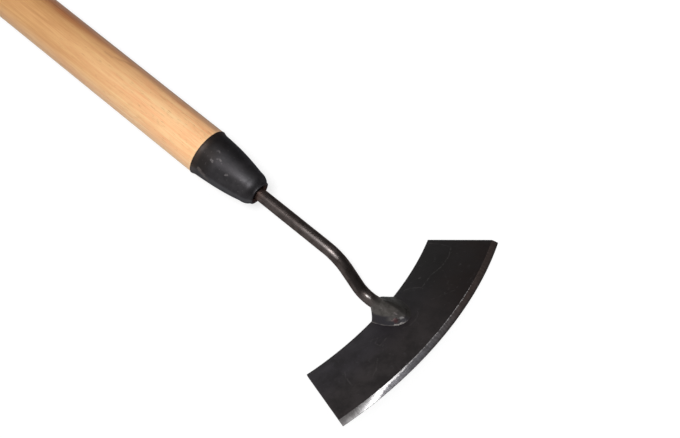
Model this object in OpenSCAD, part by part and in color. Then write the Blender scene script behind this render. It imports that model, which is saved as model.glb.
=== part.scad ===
// Long-handled push hoe with a crescent blade.
// It lies on the floor on its blade's rear corners and its handle's free end.
// Every piece is drawn along the handle: +X runs from the handle to the blade, from the ferrule's mouth.

/* [Handle] */
// Length of handle that shows, from the ferrule's mouth to the tip of the rounded end
handle_length = 1450; // [1000:10:1700]
// Diameter where the handle meets the ferrule
handle_d = 34; // [31:0.5:38]
// Diameter of the swollen free end
grip_end_d = 34; // [31:0.5:40]
// Diameter of the slim waist below the free end
waist_d = 30; // [26:0.5:31]
// Distance from the tip of the free end to the waist
waist_from_end = 330; // [200:10:420]
// Length of even thickness behind the ferrule
even_length = 420; // [100:10:500]
// Diameter of the hanging hole
hang_hole_d = 12; // [8:0.5:14]
// Distance from the tip of the free end to the hanging hole's centre
hang_hole_from_end = 22; // [20:0.5:40]

/* [Ferrule] */
// Length from the mouth to the nose
ferrule_length = 46.5; // [40:0.5:60]
// Outer diameter just inside the flared lip
ferrule_mouth_d = 33.6; // [32:0.2:36]
// Outer diameter where the nose begins to round off
ferrule_nose_d = 24; // [20:0.5:28]
// Swell of the side beyond a straight cone
ferrule_swell = 0.9; // [0:0.1:2]
// Length of the rounded nose
nose_length = 8.5; // [6:0.5:12]
// How far the lip stands out at the mouth
lip_flare = 0.7; // [0:0.1:1]
// Length of the flared lip
lip_length = 3; // [1:0.5:6]
// Thickness of the ferrule's wall
ferrule_wall = 1.4; // [0.8:0.1:2]

/* [Neck] */
// Diameter of the round bar
bar_d = 9; // [7:0.25:11]
// Length of bar from the ferrule's nose to the first bend
reach = 57; // [30:1:90]
// Radius of the first bend, on the bar's centre line
shoulder_bend_r = 28; // [16:1:40]
// Length of bar between the bends
drop = 14.5; // [4:0.5:40]
// Radius of the bend on to the blade, on the bar's centre line
foot_bend_r = 16; // [12:0.5:24]
// Angle between the handle and the blade
lie_angle = 35; // [25:1:45]
// Angle between the dropping bar and the blade
dip_angle = 76; // [60:1:85]
// Length of the foot that lies on the blade
foot_length = 20; // [14:0.5:26]
// Length of the foot that stays round, before it is dressed thin
foot_slope_start = 2; // [1:0.5:5]
// Thickness of the foot at its tip
foot_tip_t = 2.4; // [1.5:0.1:4]
// Depth of the flat on the underside of the foot
foot_flat = 0.7; // [0.2:0.1:1.2]
// Length of tang inside the handle, from the ferrule's mouth
tang_length = 60; // [30:1:100]
// Length of the tang's tapered point
tang_point = 30; // [10:1:40]
// Diameter of the tang's blunt tip
tang_tip_d = 3; // [1:0.5:5]

/* [Blade] */
// Width of the blade from corner to corner, along the cutting edge's chord
blade_width = 164; // [120:1:200]
// Depth of the blade from its hollow edge to its cutting edge
blade_depth = 50; // [40:1:70]
// Radius of the cutting edge
edge_r = 237; // [180:1:320]
// Thickness of the blade
blade_t = 3; // [2:0.1:4]
// Width of the ground bevel
bevel_width = 3.5; // [2:0.25:7]
// Thickness left at the cutting edge
edge_land = 0.4; // [0.2:0.05:1]

/* [Weld] */
// Length of weld on the blade, from the hollow edge to its front
weld_length = 22.8; // [21:0.2:30]
// Width of weld on the blade at the hollow edge
weld_width = 24.4; // [20:0.2:30]
// How far the weld runs up the bar behind the hollow edge
weld_back = 7.5; // [4:0.5:9]
// Height of the weld on the bar's sides
weld_rise = 6.5; // [5.5:0.1:7.5]
// Height of the shoulder between the weld's steep flank and its gentle top
shoulder_rise = 4.6; // [3:0.1:5.3]
// Width of the weld at its shoulder
shoulder_width = 14.4; // [12:0.2:18]

/* [Fits] */
// Gap between the handle's nose and the ferrule, and round the tang
fit_gap = 0.15; // [0.05:0.05:0.4]
// Gap round the bar where it leaves the ferrule's nose
nose_gap = 0.7; // [0.3:0.1:1.5]

/* [Hidden] */
$fn = 96;
overrun = 4;

bar_r = bar_d / 2;
handle_r = handle_d / 2;
waist_r = waist_d / 2;
grip_end_r = grip_end_d / 2;

// Round outlines are drawn with these numbers of steps.
profile_steps = 12;
weld_steps = 12;

// How far the weld reaches at its shoulder and its crest, as shares of its length, its back and the bar.
shoulder_length_share = 0.745;
crest_length_share = 0.44;
toe_back_share = 0.04;
shoulder_back_share = 0.93;
crest_width_share = 0.8;

// A bend is a little fuller than the straight bar, whose ends run into it by an overlap.
bend_swell = 0.05;
bend_overlap = 0.6;

// Rounding of the foot's tip in plan, as a share of the bar's half thickness.
foot_round_share = 1.3;

// Length of the ferrule's side, from its mouth to the start of its nose.
side_length = ferrule_length - nose_length;

// Places along the handle and the neck, in the plane of symmetry, as [x, z].
end_centre_x = grip_end_r - handle_length;
waist_x = waist_from_end - handle_length;
hole_x = hang_hole_from_end - handle_length;
turn_angle = dip_angle - lie_angle;
bend_start = [ferrule_length + reach, 0];
bend_end = bend_start + shoulder_bend_r * [sin(turn_angle), cos(turn_angle) - 1];
drop_end = bend_end + drop * [cos(turn_angle), -sin(turn_angle)];
foot_centre = drop_end + foot_bend_r * [sin(turn_angle), cos(turn_angle)];
blade_forward = [cos(lie_angle), sin(lie_angle)];
blade_up = [-sin(lie_angle), cos(lie_angle)];
foot_start = foot_centre - foot_bend_r * blade_up;

// The blade's own frame starts on its underside, at the middle of its hollow edge.
bar_height = blade_t + bar_r - foot_flat;
blade_origin = foot_start - bar_height * blade_up;
slope_start = [foot_slope_start, bar_height + bar_r];
slope_run = [foot_length, blade_t + foot_tip_t] - slope_start;
hollow_r = edge_r - blade_depth;
half_span = asin(blade_width / (2 * edge_r));

// The hoe rests on the rounded end and on the two rear corners of the blade.
corner = blade_origin - hollow_r * (1 - cos(half_span)) * blade_forward;
corner_reach = corner - [end_centre_x, 0];
rest_angle = asin(-grip_end_r / norm(corner_reach)) - atan2(corner_reach[1], corner_reach[0]);
edge_point = blade_origin + blade_depth * blade_forward;
edge_reach = edge_point - [end_centre_x, 0];
front_x = edge_reach[0] * cos(rest_angle) - edge_reach[1] * sin(rest_angle);
centre_shift = (front_x - grip_end_r) / 2;

function ease(u) = u * u * (3 - 2 * u);
function mix(a, b, u) = a + (b - a) * u;

// Half thickness of the handle at a place along it.
function handle_radius(x) =
    x > -even_length ? handle_r
    : x > waist_x ? mix(handle_r, waist_r, ease((x + even_length) / (waist_x + even_length)))
    : mix(waist_r, grip_end_r, (waist_x - x) / (waist_x - end_centre_x));

// Outer half thickness of the ferrule at a share u of its side, from the mouth to the start of the nose.
function side_radius(u) = mix(ferrule_mouth_d, ferrule_nose_d, u) / 2 + 4 * ferrule_swell * u * (1 - u);

// Sets a shape turned round Z along the handle.
module along_handle() {
    rotate([0, 90, 0]) children();
}

// Sets a shape drawn in the blade's own frame on to the neck.
module in_blade_frame() {
    translate([blade_origin[0], 0, blade_origin[1]]) rotate([0, -lie_angle, 0]) children();
}

// Sets the whole hoe down on the floor, with the middle of its box over the origin.
module at_rest() {
    translate([-centre_shift, 0, grip_end_r]) rotate([0, -rest_angle, 0])
        translate([-end_centre_x, 0, 0]) children();
}

// The ferrule's side from a share of it to the nose, as points of half thickness and place, inset by a wall.
function ferrule_side(inset, from_share) = [
    for (i = [0 : profile_steps]) let (u = mix(from_share, 1, i / profile_steps))
        [side_radius(u) - inset, u * side_length]
];

// The ferrule's nose as a quarter of an ellipse that ends at the hole for the bar, inset by a wall.
function ferrule_nose(inset) = [
    for (i = [1 : profile_steps]) let (t = 90 * i / profile_steps)
        [
            mix(bar_r + nose_gap, side_radius(1) - inset, cos(t)),
            mix(side_length, ferrule_length - inset, sin(t))
        ]
];

// The bar's straight length and its tang, grown by a gap.
module straight_bar(gap) {
    along_handle() rotate_extrude() polygon([
        [0, -tang_length - gap],
        [tang_tip_d / 2 + gap, -tang_length - gap],
        [bar_r + gap, tang_point - tang_length],
        [bar_r + gap, bend_start[0] + bend_overlap],
        [0, bend_start[0] + bend_overlap]
    ]);
}

// The handle's turned outline, from its nose inside the ferrule to its rounded end.
module handle_outline() {
    nose = ferrule_side(ferrule_wall + fit_gap, 0);
    taper = [
        for (i = [0 : profile_steps]) let (x = mix(-even_length, waist_x, i / profile_steps))
            [handle_radius(x), x]
    ];
    end = [
        for (i = [0 : profile_steps]) let (t = 90 * i / profile_steps)
            [grip_end_r * cos(t), end_centre_x - grip_end_r * sin(t)]
    ];
    polygon(concat(
        [[0, side_length]],
        [for (i = [len(nose) - 1 : -1 : 0]) nose[i]],
        [[handle_r, 0]],
        taper,
        end
    ));
}

module handle() {
    color("burlywood") at_rest() difference() {
        along_handle() rotate_extrude() handle_outline();
        straight_bar(fit_gap);
        translate([hole_x, 0, 0]) cylinder(h = 2 * (grip_end_r + overrun), d = hang_hole_d, center = true);
    }
}

module ferrule() {
    lip = [[ferrule_mouth_d / 2 + lip_flare, 0]];
    outer = concat(lip, ferrule_side(0, lip_length / side_length), ferrule_nose(0));
    inner = concat(ferrule_side(ferrule_wall, 0), ferrule_nose(ferrule_wall));
    color("#2b2a2c") at_rest() along_handle() rotate_extrude() polygon(concat(
        outer,
        [for (i = [len(inner) - 1 : -1 : 0]) inner[i]]
    ));
}

// A round bar bent through an angle in the plane of symmetry, round a centre, from a start angle.
module bent_bar(centre, bend_r, start, turn) {
    translate([centre[0], 0, centre[1]]) rotate([90, 0, 0]) rotate([0, 0, start])
        rotate_extrude(angle = turn) translate([bend_r, 0]) circle(r = bar_r + bend_swell);
}

// What is dressed off the top of the foot and of the weld round it.
module dressing() {
    translate([slope_start[0], -bar_d, slope_start[1]]) rotate([0, -atan2(slope_run[1], slope_run[0]), 0])
        translate([-overrun, 0, 0]) cube([norm(slope_run) + 2 * overrun, 2 * bar_d, bar_d]);
}

// The foot: the end of the bar, rounded in plan, dressed thin towards its tip.
module foot() {
    round_r = bar_r * foot_round_share;
    difference() {
        intersection() {
            translate([-bend_overlap, 0, bar_height]) rotate([0, 90, 0])
                cylinder(h = foot_length + bend_overlap, r = bar_r);
            linear_extrude(bar_height + bar_d) union() {
                translate([-overrun, -bar_d]) square([foot_length - round_r + overrun, 2 * bar_d]);
                translate([foot_length - round_r, 0]) circle(r = round_r);
            }
        }
        dressing();
    }
}

module neck_bar() {
    straight_bar(0);
    bent_bar([bend_start[0], -shoulder_bend_r], shoulder_bend_r, 90 - turn_angle, turn_angle);
    translate([bend_end[0], 0, bend_end[1]]) rotate([0, 90 + turn_angle, 0]) translate([0, 0, -bend_overlap])
        cylinder(h = drop + 2 * bend_overlap, r = bar_r);
    bent_bar(foot_centre, foot_bend_r, -90 - turn_angle, dip_angle);
    in_blade_frame() foot();
}

// The neck, with the flat on which its foot sits.
module neck() {
    color("#4a403c") at_rest() difference() {
        neck_bar();
        in_blade_frame() translate([-bar_d, -bar_d, -bar_d])
            cube([bar_d + foot_length + overrun, 2 * bar_d, bar_d + blade_t]);
    }
}

module blade() {
    color("#29272a") at_rest() in_blade_frame() translate([-hollow_r, 0, 0]) rotate([0, 0, -half_span])
        rotate_extrude(angle = 2 * half_span) polygon([
            [hollow_r, 0],
            [edge_r, 0],
            [edge_r, edge_land],
            [edge_r - bevel_width, blade_t],
            [hollow_r, blade_t]
        ]);
}

// The weld's outline at a height z: half an ellipse before the hollow edge and half of another behind it.
function weld_outline(width, front, back, z) = [
    for (i = [0 : 4 * weld_steps - 1]) let (t = 90 * i / weld_steps)
        [cos(t) * (cos(t) > 0 ? front : back), sin(t) * width / 2, z]
];

// A closed skin over sections of equal count.
module skin(sections) {
    count = len(sections[0]);
    last = len(sections) - 1;
    points = [for (s = sections) each s];
    sides = [
        for (i = [0 : last - 1], j = [0 : count - 1]) let (
            a = i * count + j,
            b = i * count + (j + 1) % count
        ) each [[a, b, b + count], [a, b + count, a + count]]
    ];
    first_cap = [[for (j = [count - 1 : -1 : 0]) j]];
    last_cap = [[for (j = [0 : count - 1]) last * count + j]];
    polyhedron(points, concat(sides, first_cap, last_cap));
}

module weld() {
    color("#3a3330") at_rest() difference() {
        in_blade_frame() skin([
            weld_outline(weld_width, weld_length, weld_back * toe_back_share, blade_t),
            weld_outline(
                shoulder_width,
                weld_length * shoulder_length_share,
                weld_back * shoulder_back_share,
                blade_t + shoulder_rise
            ),
            weld_outline(
                bar_d * crest_width_share, weld_length * crest_length_share, weld_back, blade_t + weld_rise
            )
        ]);
        in_blade_frame() dressing();
        neck_bar();
    }
}

handle();
ferrule();
neck();
blade();
weld();
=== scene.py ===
"""A long-handled push hoe with a crescent blade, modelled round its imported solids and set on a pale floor."""

from math import asin, atan2, cos, hypot, inf, pi, radians, sin, sqrt

import bmesh
import bpy
from bpy.props import FloatProperty, FloatVectorProperty, PointerProperty
from mathutils import Matrix, Vector


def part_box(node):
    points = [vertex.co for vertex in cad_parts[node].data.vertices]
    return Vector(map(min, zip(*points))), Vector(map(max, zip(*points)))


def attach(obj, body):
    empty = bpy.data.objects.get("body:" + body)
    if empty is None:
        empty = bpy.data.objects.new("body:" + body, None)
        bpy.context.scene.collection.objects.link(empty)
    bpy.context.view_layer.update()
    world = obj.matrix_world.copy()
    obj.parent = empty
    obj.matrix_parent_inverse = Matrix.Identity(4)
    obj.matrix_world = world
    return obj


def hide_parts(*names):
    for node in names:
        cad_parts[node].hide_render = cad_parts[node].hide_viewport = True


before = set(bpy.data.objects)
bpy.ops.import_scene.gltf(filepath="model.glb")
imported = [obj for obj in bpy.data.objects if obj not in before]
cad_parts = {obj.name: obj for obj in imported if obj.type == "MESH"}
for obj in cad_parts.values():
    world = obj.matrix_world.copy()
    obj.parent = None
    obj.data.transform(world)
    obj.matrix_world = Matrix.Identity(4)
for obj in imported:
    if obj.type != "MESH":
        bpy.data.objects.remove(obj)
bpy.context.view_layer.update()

bl_info = {
    "name": "Push hoe",
    "version": (1, 0, 0),
    "blender": (4, 5, 0),
    "location": "View3D > Sidebar > Hoe",
    "description": "Models a push hoe with a crescent blade: handle, ferrule, neck, blade and weld",
    "category": "Object",
}

MM = 0.001
CUT = 0.001 * MM  # how near a cutting plane counts as on it
ACROSS = Vector((0, 1, 0))


# ---------------- what a user would change


def length(name, description, millimetres):
    """A length that shows in the scene's own unit."""
    kept = {"min": 0.0, "precision": 5, "unit": "LENGTH"}
    return FloatProperty(name=name, description=description, default=millimetres * MM, **kept)


def turn(name, description, degrees):
    """An angle that shows in degrees."""
    return FloatProperty(name=name, description=description, default=radians(degrees), unit="ROTATION")


def tint(name, description, red, green, blue):
    """A colour as it is under plain light."""
    kept = {"min": 0.0, "max": 1.0, "size": 3, "subtype": "COLOR"}
    return FloatVectorProperty(name=name, description=description, default=(red, green, blue), **kept)


class HoeSizes(bpy.types.PropertyGroup):
    """Sizes of the hoe."""

    handle_length: length("Handle length", "From the ferrule's mouth to the tip of the rounded end", 1450)
    handle_d: length("Handle diameter", "Where the handle meets the ferrule", 34)
    grip_end_d: length("Free end diameter", "Swollen free end of the handle", 34)
    waist_d: length("Waist diameter", "Slim waist below the free end", 30)
    waist_from_end: length("Waist from end", "From the tip of the free end to the waist", 330)
    even_length: length("Even length", "Length of even thickness behind the ferrule", 420)
    hang_hole_d: length("Hanging hole", "Diameter of the hanging hole", 12)
    hang_hole_from_end: length("Hole from end", "From the tip of the free end to the hole", 22)
    ferrule_length: length("Ferrule length", "From the mouth to the nose", 46.5)
    ferrule_mouth_d: length("Ferrule mouth", "Outer diameter just inside the lip", 33.6)
    ferrule_nose_d: length("Ferrule nose", "Outer diameter where the nose begins", 24)
    ferrule_swell: length("Ferrule swell", "Swell of the side beyond a straight cone", 0.9)
    nose_length: length("Nose length", "Length of the rounded nose", 8.5)
    lip_flare: length("Lip flare", "How far the lip stands out", 0.7)
    lip_length: length("Lip length", "Length of the flared lip", 3)
    ferrule_wall: length("Ferrule wall", "Thickness of the ferrule", 1.4)
    bar_d: length("Bar diameter", "Round bar of the neck", 9)
    reach: length("Reach", "Bar from the ferrule's nose to the first bend", 57)
    shoulder_bend_r: length("First bend", "Radius on the bar's centre line", 28)
    drop: length("Drop", "Bar between the bends", 14.5)
    foot_bend_r: length("Second bend", "Radius on the bar's centre line", 16)
    lie_angle: turn("Lie", "Between the handle and the blade", 35)
    dip_angle: turn("Dip", "Between the dropping bar and the blade", 76)
    foot_length: length("Foot length", "Foot that lies on the blade", 20)
    foot_slope_start: length("Foot slope start", "Foot that stays round", 2)
    foot_tip_t: length("Foot tip", "Thickness of the foot at its tip", 2.4)
    foot_flat: length("Foot flat", "Depth of the flat under the foot", 0.7)
    tang_length: length("Tang length", "Tang inside the handle", 60)
    tang_point: length("Tang point", "Tapered point of the tang", 30)
    tang_tip_d: length("Tang tip", "Blunt tip of the tang", 3)
    blade_width: length("Blade width", "Along the cutting edge's chord", 164)
    blade_depth: length("Blade depth", "From the hollow edge to the cutting edge", 50)
    edge_r: length("Edge radius", "Radius of the cutting edge", 237)
    blade_t: length("Blade thickness", "Thickness of the plate", 3)
    bevel_width: length("Bevel width", "Ground bevel along the cutting edge", 3.5)
    edge_land: length("Edge land", "Thickness left at the cutting edge", 0.4)
    weld_length: length("Weld length", "From the hollow edge to the weld's front", 22.8)
    weld_width: length("Weld width", "Weld on the blade at the hollow edge", 24.4)
    weld_back: length("Weld back", "How far the weld runs up behind the hollow edge", 7.5)
    weld_rise: length("Weld rise", "Height of the weld on the bar's sides", 6.5)
    shoulder_rise: length("Shoulder rise", "Height of the shoulder between flank and top", 4.6)
    shoulder_width: length("Shoulder width", "Width of the weld at its shoulder", 14.4)
    fit_gap: length("Fit gap", "Round the handle's nose and the tang", 0.15)
    nose_gap: length("Nose gap", "Round the bar in the ferrule's nose", 0.7)


class HoeColours(bpy.types.PropertyGroup):
    """Colours of the hoe's finishes."""

    wood_pale: tint("Pale wood", "Ash between the growth rings, near the ferrule", 0.92, 0.560, 0.288)
    wood_brown: tint("Brown wood", "Darker ash a hand's breadth up the handle", 0.565, 0.303, 0.120)
    wood_warm: tint("Warm wood", "Ash towards the free end", 0.80, 0.46, 0.165)
    wood_ring: tint("Growth ring", "Porous wood of the growth rings", 0.47, 0.235, 0.095)
    ferrule_black: tint("Ferrule black", "Baked black finish", 0.0290, 0.0272, 0.0290)
    bar_brown: tint("Bar brown", "Browned bar steel", 0.074, 0.061, 0.057)
    scale_black: tint("Mill scale", "Rolled skin of the blade", 0.0172, 0.0149, 0.0154)
    ground_steel: tint("Ground steel", "Bare steel of the ground bevel", 0.56, 0.55, 0.555)
    rust: tint("Rust", "Rust in corners and speckles", 0.10, 0.042, 0.026)
    weld_olive: tint("Weld", "Dressed weld and foot", 0.080, 0.073, 0.067)
    floor_white: tint("Floor", "Pale floor", 0.3, 0.3, 0.3)


# ---------------- the drawing


class Drawing:
    """Places on the hoe, in a frame along the handle: +X runs from the ferrule's mouth to the blade."""

    def __init__(self, s):
        self.bar_r = s.bar_d / 2
        self.handle_r = s.handle_d / 2
        self.end_r = s.grip_end_d / 2
        self.side_length = s.ferrule_length - s.nose_length
        self.end_x = self.end_r - s.handle_length
        self.waist_x = s.waist_from_end - s.handle_length
        self.hole_x = s.hang_hole_from_end - s.handle_length

        bend = s.dip_angle - s.lie_angle
        self.bend_angle = bend
        self.bend_start = Vector((s.ferrule_length + s.reach, 0, 0))
        self.bend_centre = self.bend_start - Vector((0, 0, s.shoulder_bend_r))
        self.falling = Vector((cos(bend), 0, -sin(bend)))
        bend_end = self.bend_centre + s.shoulder_bend_r * Vector((sin(bend), 0, cos(bend)))
        drop_end = bend_end + s.drop * self.falling
        self.foot_centre = drop_end + s.foot_bend_r * Vector((sin(bend), 0, cos(bend)))
        self.forward = Vector((cos(s.lie_angle), 0, sin(s.lie_angle)))
        self.upward = Vector((-sin(s.lie_angle), 0, cos(s.lie_angle)))
        foot_start = self.foot_centre - s.foot_bend_r * self.upward

        bar_height = s.blade_t + self.bar_r - s.foot_flat
        self.slope_start = Vector((s.foot_slope_start, 0, bar_height + self.bar_r))
        run = Vector((s.foot_length, 0, s.blade_t + s.foot_tip_t)) - self.slope_start
        self.slope_up = Vector((-run.z, 0, run.x)).normalized()
        blade_origin = foot_start - bar_height * self.upward
        self.blade_frame = Matrix.Translation(blade_origin) @ Matrix.Rotation(-s.lie_angle, 4, "Y")
        self.hollow_r = s.edge_r - s.blade_depth
        self.half_span = asin(s.blade_width / (2 * s.edge_r))
        self.arc_frame = self.blade_frame @ Matrix.Translation((-self.hollow_r, 0, 0))

        corner = blade_origin - self.hollow_r * (1 - cos(self.half_span)) * self.forward
        across, down = corner.x - self.end_x, corner.z
        rest_angle = asin(-self.end_r / hypot(across, down)) - atan2(down, across)
        end_place = Vector((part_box("handle")[0][0] + self.end_r, 0, self.end_r))
        self.rest = (
            Matrix.Translation(end_place)
            @ Matrix.Rotation(-rest_angle, 4, "Y")
            @ Matrix.Translation((-self.end_x, 0, 0))
        )


def between(a, b, share):
    """The value a share of the way from a to b."""
    return a + (b - a) * share


def shares(count):
    """Even shares from 0 to 1."""
    return [i / count for i in range(count + 1)]


def hoe(context):
    """Sizes, colours and drawing of the hoe."""
    sizes = context.scene.hoe_sizes
    return sizes, context.scene.hoe_colours, Drawing(sizes)


# ---------------- modelling by hand


def fresh(name, add, **places):
    """Adds a primitive with nothing else selected and opens it in edit mode, selected all over."""
    bpy.ops.object.select_all(action="DESELECT")
    add(**places)
    piece = bpy.context.object
    piece.name = piece.data.name = name
    bpy.ops.object.transform_apply(location=True, rotation=True, scale=True)
    bpy.ops.object.mode_set(mode="EDIT")
    bpy.ops.mesh.select_all(action="SELECT")
    return piece


def pick(kind, test):
    """Selects only those vertices, edges or faces of the piece in hand that pass a test."""
    bpy.ops.mesh.select_mode(type=kind)
    bpy.ops.mesh.select_all(action="DESELECT")
    mesh = bpy.context.edit_object.data
    form = bmesh.from_edit_mesh(mesh)
    for item in {"VERT": form.verts, "EDGE": form.edges, "FACE": form.faces}[kind]:
        if test(item):
            item.select_set(True)
    form.select_flush_mode()
    bmesh.update_edit_mesh(mesh)


def extrude(step):
    """Extrudes what is selected by a step."""
    bpy.ops.mesh.extrude_region_move(TRANSFORM_OT_translate={"value": step})


def resize(factors, about):
    """Resizes what is selected about a point."""
    bpy.ops.transform.resize(value=factors, center_override=about)


def turned(name, outline, sides):
    """A turned piece: a ring, extruded and resized from point to point of an outline along X."""
    (x, r), *rest = outline
    ring = {"vertices": sides, "radius": r, "location": (x, 0, 0), "rotation": (0, pi / 2, 0)}
    piece = fresh(name, bpy.ops.mesh.primitive_circle_add, **ring)
    for next_x, next_r in rest:
        extrude((next_x - x, 0, 0))
        resize((1, next_r / r, next_r / r), (next_x, 0, 0))
        x, r = next_x, next_r
    return piece


def cut(point, normal, **options):
    """Cuts what is selected by a plane."""
    bpy.ops.mesh.bisect(plane_co=point, plane_no=normal, threshold=CUT, **options)


def close_ends():
    """Fills every open ring of the piece in hand and turns its faces outwards."""
    bpy.ops.mesh.select_mode(type="EDGE")
    bpy.ops.mesh.select_all(action="DESELECT")
    bpy.ops.mesh.select_non_manifold(extend=False, use_wire=False, use_multi_face=False, use_verts=False)
    bpy.ops.mesh.edge_face_add()
    face_outwards()


def face_outwards():
    """Merges doubled vertices, then turns the faces outwards."""
    bpy.ops.mesh.select_mode(type="VERT")
    bpy.ops.mesh.select_all(action="SELECT")
    bpy.ops.mesh.remove_doubles(threshold=0.002 * MM)
    bpy.ops.mesh.normals_make_consistent(inside=False)


def leave_edit():
    """Goes back to object mode."""
    bpy.ops.object.mode_set(mode="OBJECT")


def hold(piece):
    """Selects a piece alone and makes it the active one."""
    bpy.ops.object.select_all(action="DESELECT")
    piece.select_set(True)
    bpy.context.view_layer.objects.active = piece


def finish_with(piece, kind, **settings):
    """Adds a modifier to a piece and applies it."""
    hold(piece)
    modifier = piece.modifiers.new(kind.title(), kind)
    for name, value in settings.items():
        setattr(modifier, name, value)
    bpy.ops.object.modifier_apply(modifier=modifier.name)


def dent(piece, name, patch, depth):
    """Presses a piece in unevenly, by up to a depth, in patches of a size."""
    clouds = bpy.data.textures.new(name, "CLOUDS")
    clouds.noise_scale = patch
    clouds.noise_depth = 1
    finish_with(piece, "DISPLACE", texture=clouds, strength=depth, mid_level=1.0, texture_coords="LOCAL")
    bpy.data.textures.remove(clouds)


def set_down(piece, place, sharp):
    """Puts a finished piece on the floor, with its place in its mesh, and smooths its faces."""
    hold(piece)
    piece.matrix_world = place
    bpy.ops.object.transform_apply(location=True, rotation=True, scale=True)
    bpy.ops.object.shade_smooth_by_angle(angle=sharp)


def hand_over(piece, node, slot, *finishes):
    """Gives a piece its finishes and lets it stand for its solid."""
    for finish in finishes:
        piece.data.materials.append(finish)
    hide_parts(node)
    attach(piece, "root")


def refinish(piece, test):
    """Gives the piece in hand its second finish on those faces that pass a test."""
    bpy.ops.object.mode_set(mode="EDIT")
    pick("FACE", test)
    piece.active_material_index = 1
    bpy.ops.object.material_slot_assign()
    leave_edit()


# ---------------- finishes


def shade(colour, *factors):
    """A colour multiplied by one factor, or by one for each of its parts."""
    return tuple(part * factor for part, factor in zip(colour, factors * 3))


class Nodes:
    """A node tree in the making, of a material or of the world."""

    def __init__(self, owner):
        owner.use_nodes = True
        self.tree = owner.node_tree
        self.tree.nodes.clear()

    def node(self, kind, sockets=None, **settings):
        """Adds a node; a socket's value is another node's output or a constant."""
        made = self.tree.nodes.new("ShaderNode" + kind)
        for name, value in settings.items():
            setattr(made, name, value)
        for key, value in (sockets or {}).items():
            if isinstance(value, bpy.types.NodeSocket):
                self.tree.links.new(value, made.inputs[key])
            else:
                made.inputs[key].default_value = value
        return made

    def math(self, operation, *values):
        """A sum on one to three numbers."""
        return self.node("Math", dict(enumerate(values)), operation=operation).outputs[0]

    def vector(self, operation, *values, out=0):
        """A sum on one to three vectors."""
        return self.node("VectorMath", dict(enumerate(values)), operation=operation).outputs[out]

    def times(self, product, *factors):
        """The product of numbers."""
        for factor in factors:
            product = self.math("MULTIPLY", product, factor)
        return product

    def moved(self, value, by, amount):
        """A number moved by another, an amount of it."""
        return self.math("MULTIPLY_ADD", by, amount, value)

    def parts(self, vector):
        """The three numbers of a vector."""
        return self.node("SeparateXYZ", {0: vector}).outputs

    def join(self, x, y, z):
        """A vector of three numbers."""
        return self.node("CombineXYZ", {0: x, 1: y, 2: z}).outputs[0]

    def span(self, x, y, z):
        """The length of a vector of three numbers."""
        return self.vector("LENGTH", self.join(x, y, z), out="Value")

    def mix(self, share, a, b, how="MIX"):
        """A colour a share of the way from a to b."""
        a, b = (item if isinstance(item, bpy.types.NodeSocket) else (*item, 1) for item in (a, b))
        return self.node("Mix", {0: share, 6: a, 7: b}, data_type="RGBA", blend_type=how).outputs[2]


class Finish(Nodes):
    """A material in the making, whose patterns lie in a frame of the hoe; colour is what it has so far."""

    def __init__(self, name, place):
        self.material, self.colour = bpy.data.materials.new(name), None
        super().__init__(self.material)
        spot, turned_by, _ = place.decompose()
        sockets = {0: self.node("TexCoord").outputs["Object"], 1: spot, 2: turned_by.to_euler()}
        self.point = self.node("Mapping", sockets, vector_type="TEXTURE").outputs[0]

    def noise(self, scale, detail=2, roughness=0.5, distortion=0, at=None, out=0):
        """Cloudy noise about one half."""
        sockets = {"Vector": at or self.point, "Scale": scale, "Detail": detail}
        sockets |= {"Roughness": roughness, "Distortion": distortion}
        return self.node("TexNoise", sockets).outputs[out]

    def drawn(self, vector, factors, detail=2, roughness=0.5, out=0):
        """Cloudy noise drawn out, by multiplying each part of its vector."""
        drawn = self.vector("MULTIPLY", vector, factors)
        return self.noise(1, detail, roughness, at=drawn, out=out)

    def rise(self, value, low, high, to_low=0, to_high=1):
        """A smooth step from one value to another as a number goes from low to high."""
        sockets = dict(enumerate((value, low, high, to_low, to_high)))
        return self.node("MapRange", sockets, interpolation_type="SMOOTHSTEP").outputs[0]

    def fall(self, value, low, high):
        """A smooth step from one to nought."""
        return self.rise(value, low, high, 1, 0)

    def near(self, vector, spot, reach, blur):
        """One within a reach of a spot, falling to nought over a blur."""
        gap = self.vector("DISTANCE", vector, spot, out="Value")
        return self.fall(gap, reach, reach + blur)

    def stroke(self, spots, wide, blur, shake=0):
        """One along a line through spots, all in millimetres, falling to nought over a blur."""
        mark, point = 0, self.point
        if shake:
            aside = self.vector("SUBTRACT", self.noise(600, 3, out="Color"), (0.5, 0.5, 0.5))
            point = self.vector("MULTIPLY_ADD", aside, (shake * MM,) * 3, point)
        spots = [Vector(spot) * MM for spot in spots]
        for a, b in zip(spots, spots[1:]):
            run = b - a
            away = self.vector("SUBTRACT", point, a)
            along = self.vector("DOT_PRODUCT", away, run / run.length_squared, out="Value")
            share = self.node("Clamp", {0: along}).outputs[0]
            foot = self.vector("MULTIPLY_ADD", self.join(share, share, share), run, a)
            mark = self.math("MAXIMUM", mark, self.near(point, foot, wide * MM, blur * MM))
        return mark

    def lay(self, over, *shares):
        """Lays a colour over what there is, by the product of some shares."""
        self.colour = self.mix(self.times(*shares), self.colour, over)

    def surface(self, roughness, height, relief, metallic=0, **constants):
        """Ends the material with a surface, whose height stands out by a relief in metres."""
        bump = self.node("Bump", {"Strength": 1, "Distance": relief, "Height": height})
        sockets = {"Base Color": self.colour, "Roughness": roughness, "Metallic": metallic}
        shader = self.node("BsdfPrincipled", {**sockets, "Normal": bump.outputs[0]})
        for name, value in {"Specular_IOR_Level": 0.5, **constants}.items():
            shader.inputs[name.replace("_", " ")].default_value = value
        self.node("OutputMaterial", {0: shader.outputs[0]})
        return self.material


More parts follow.
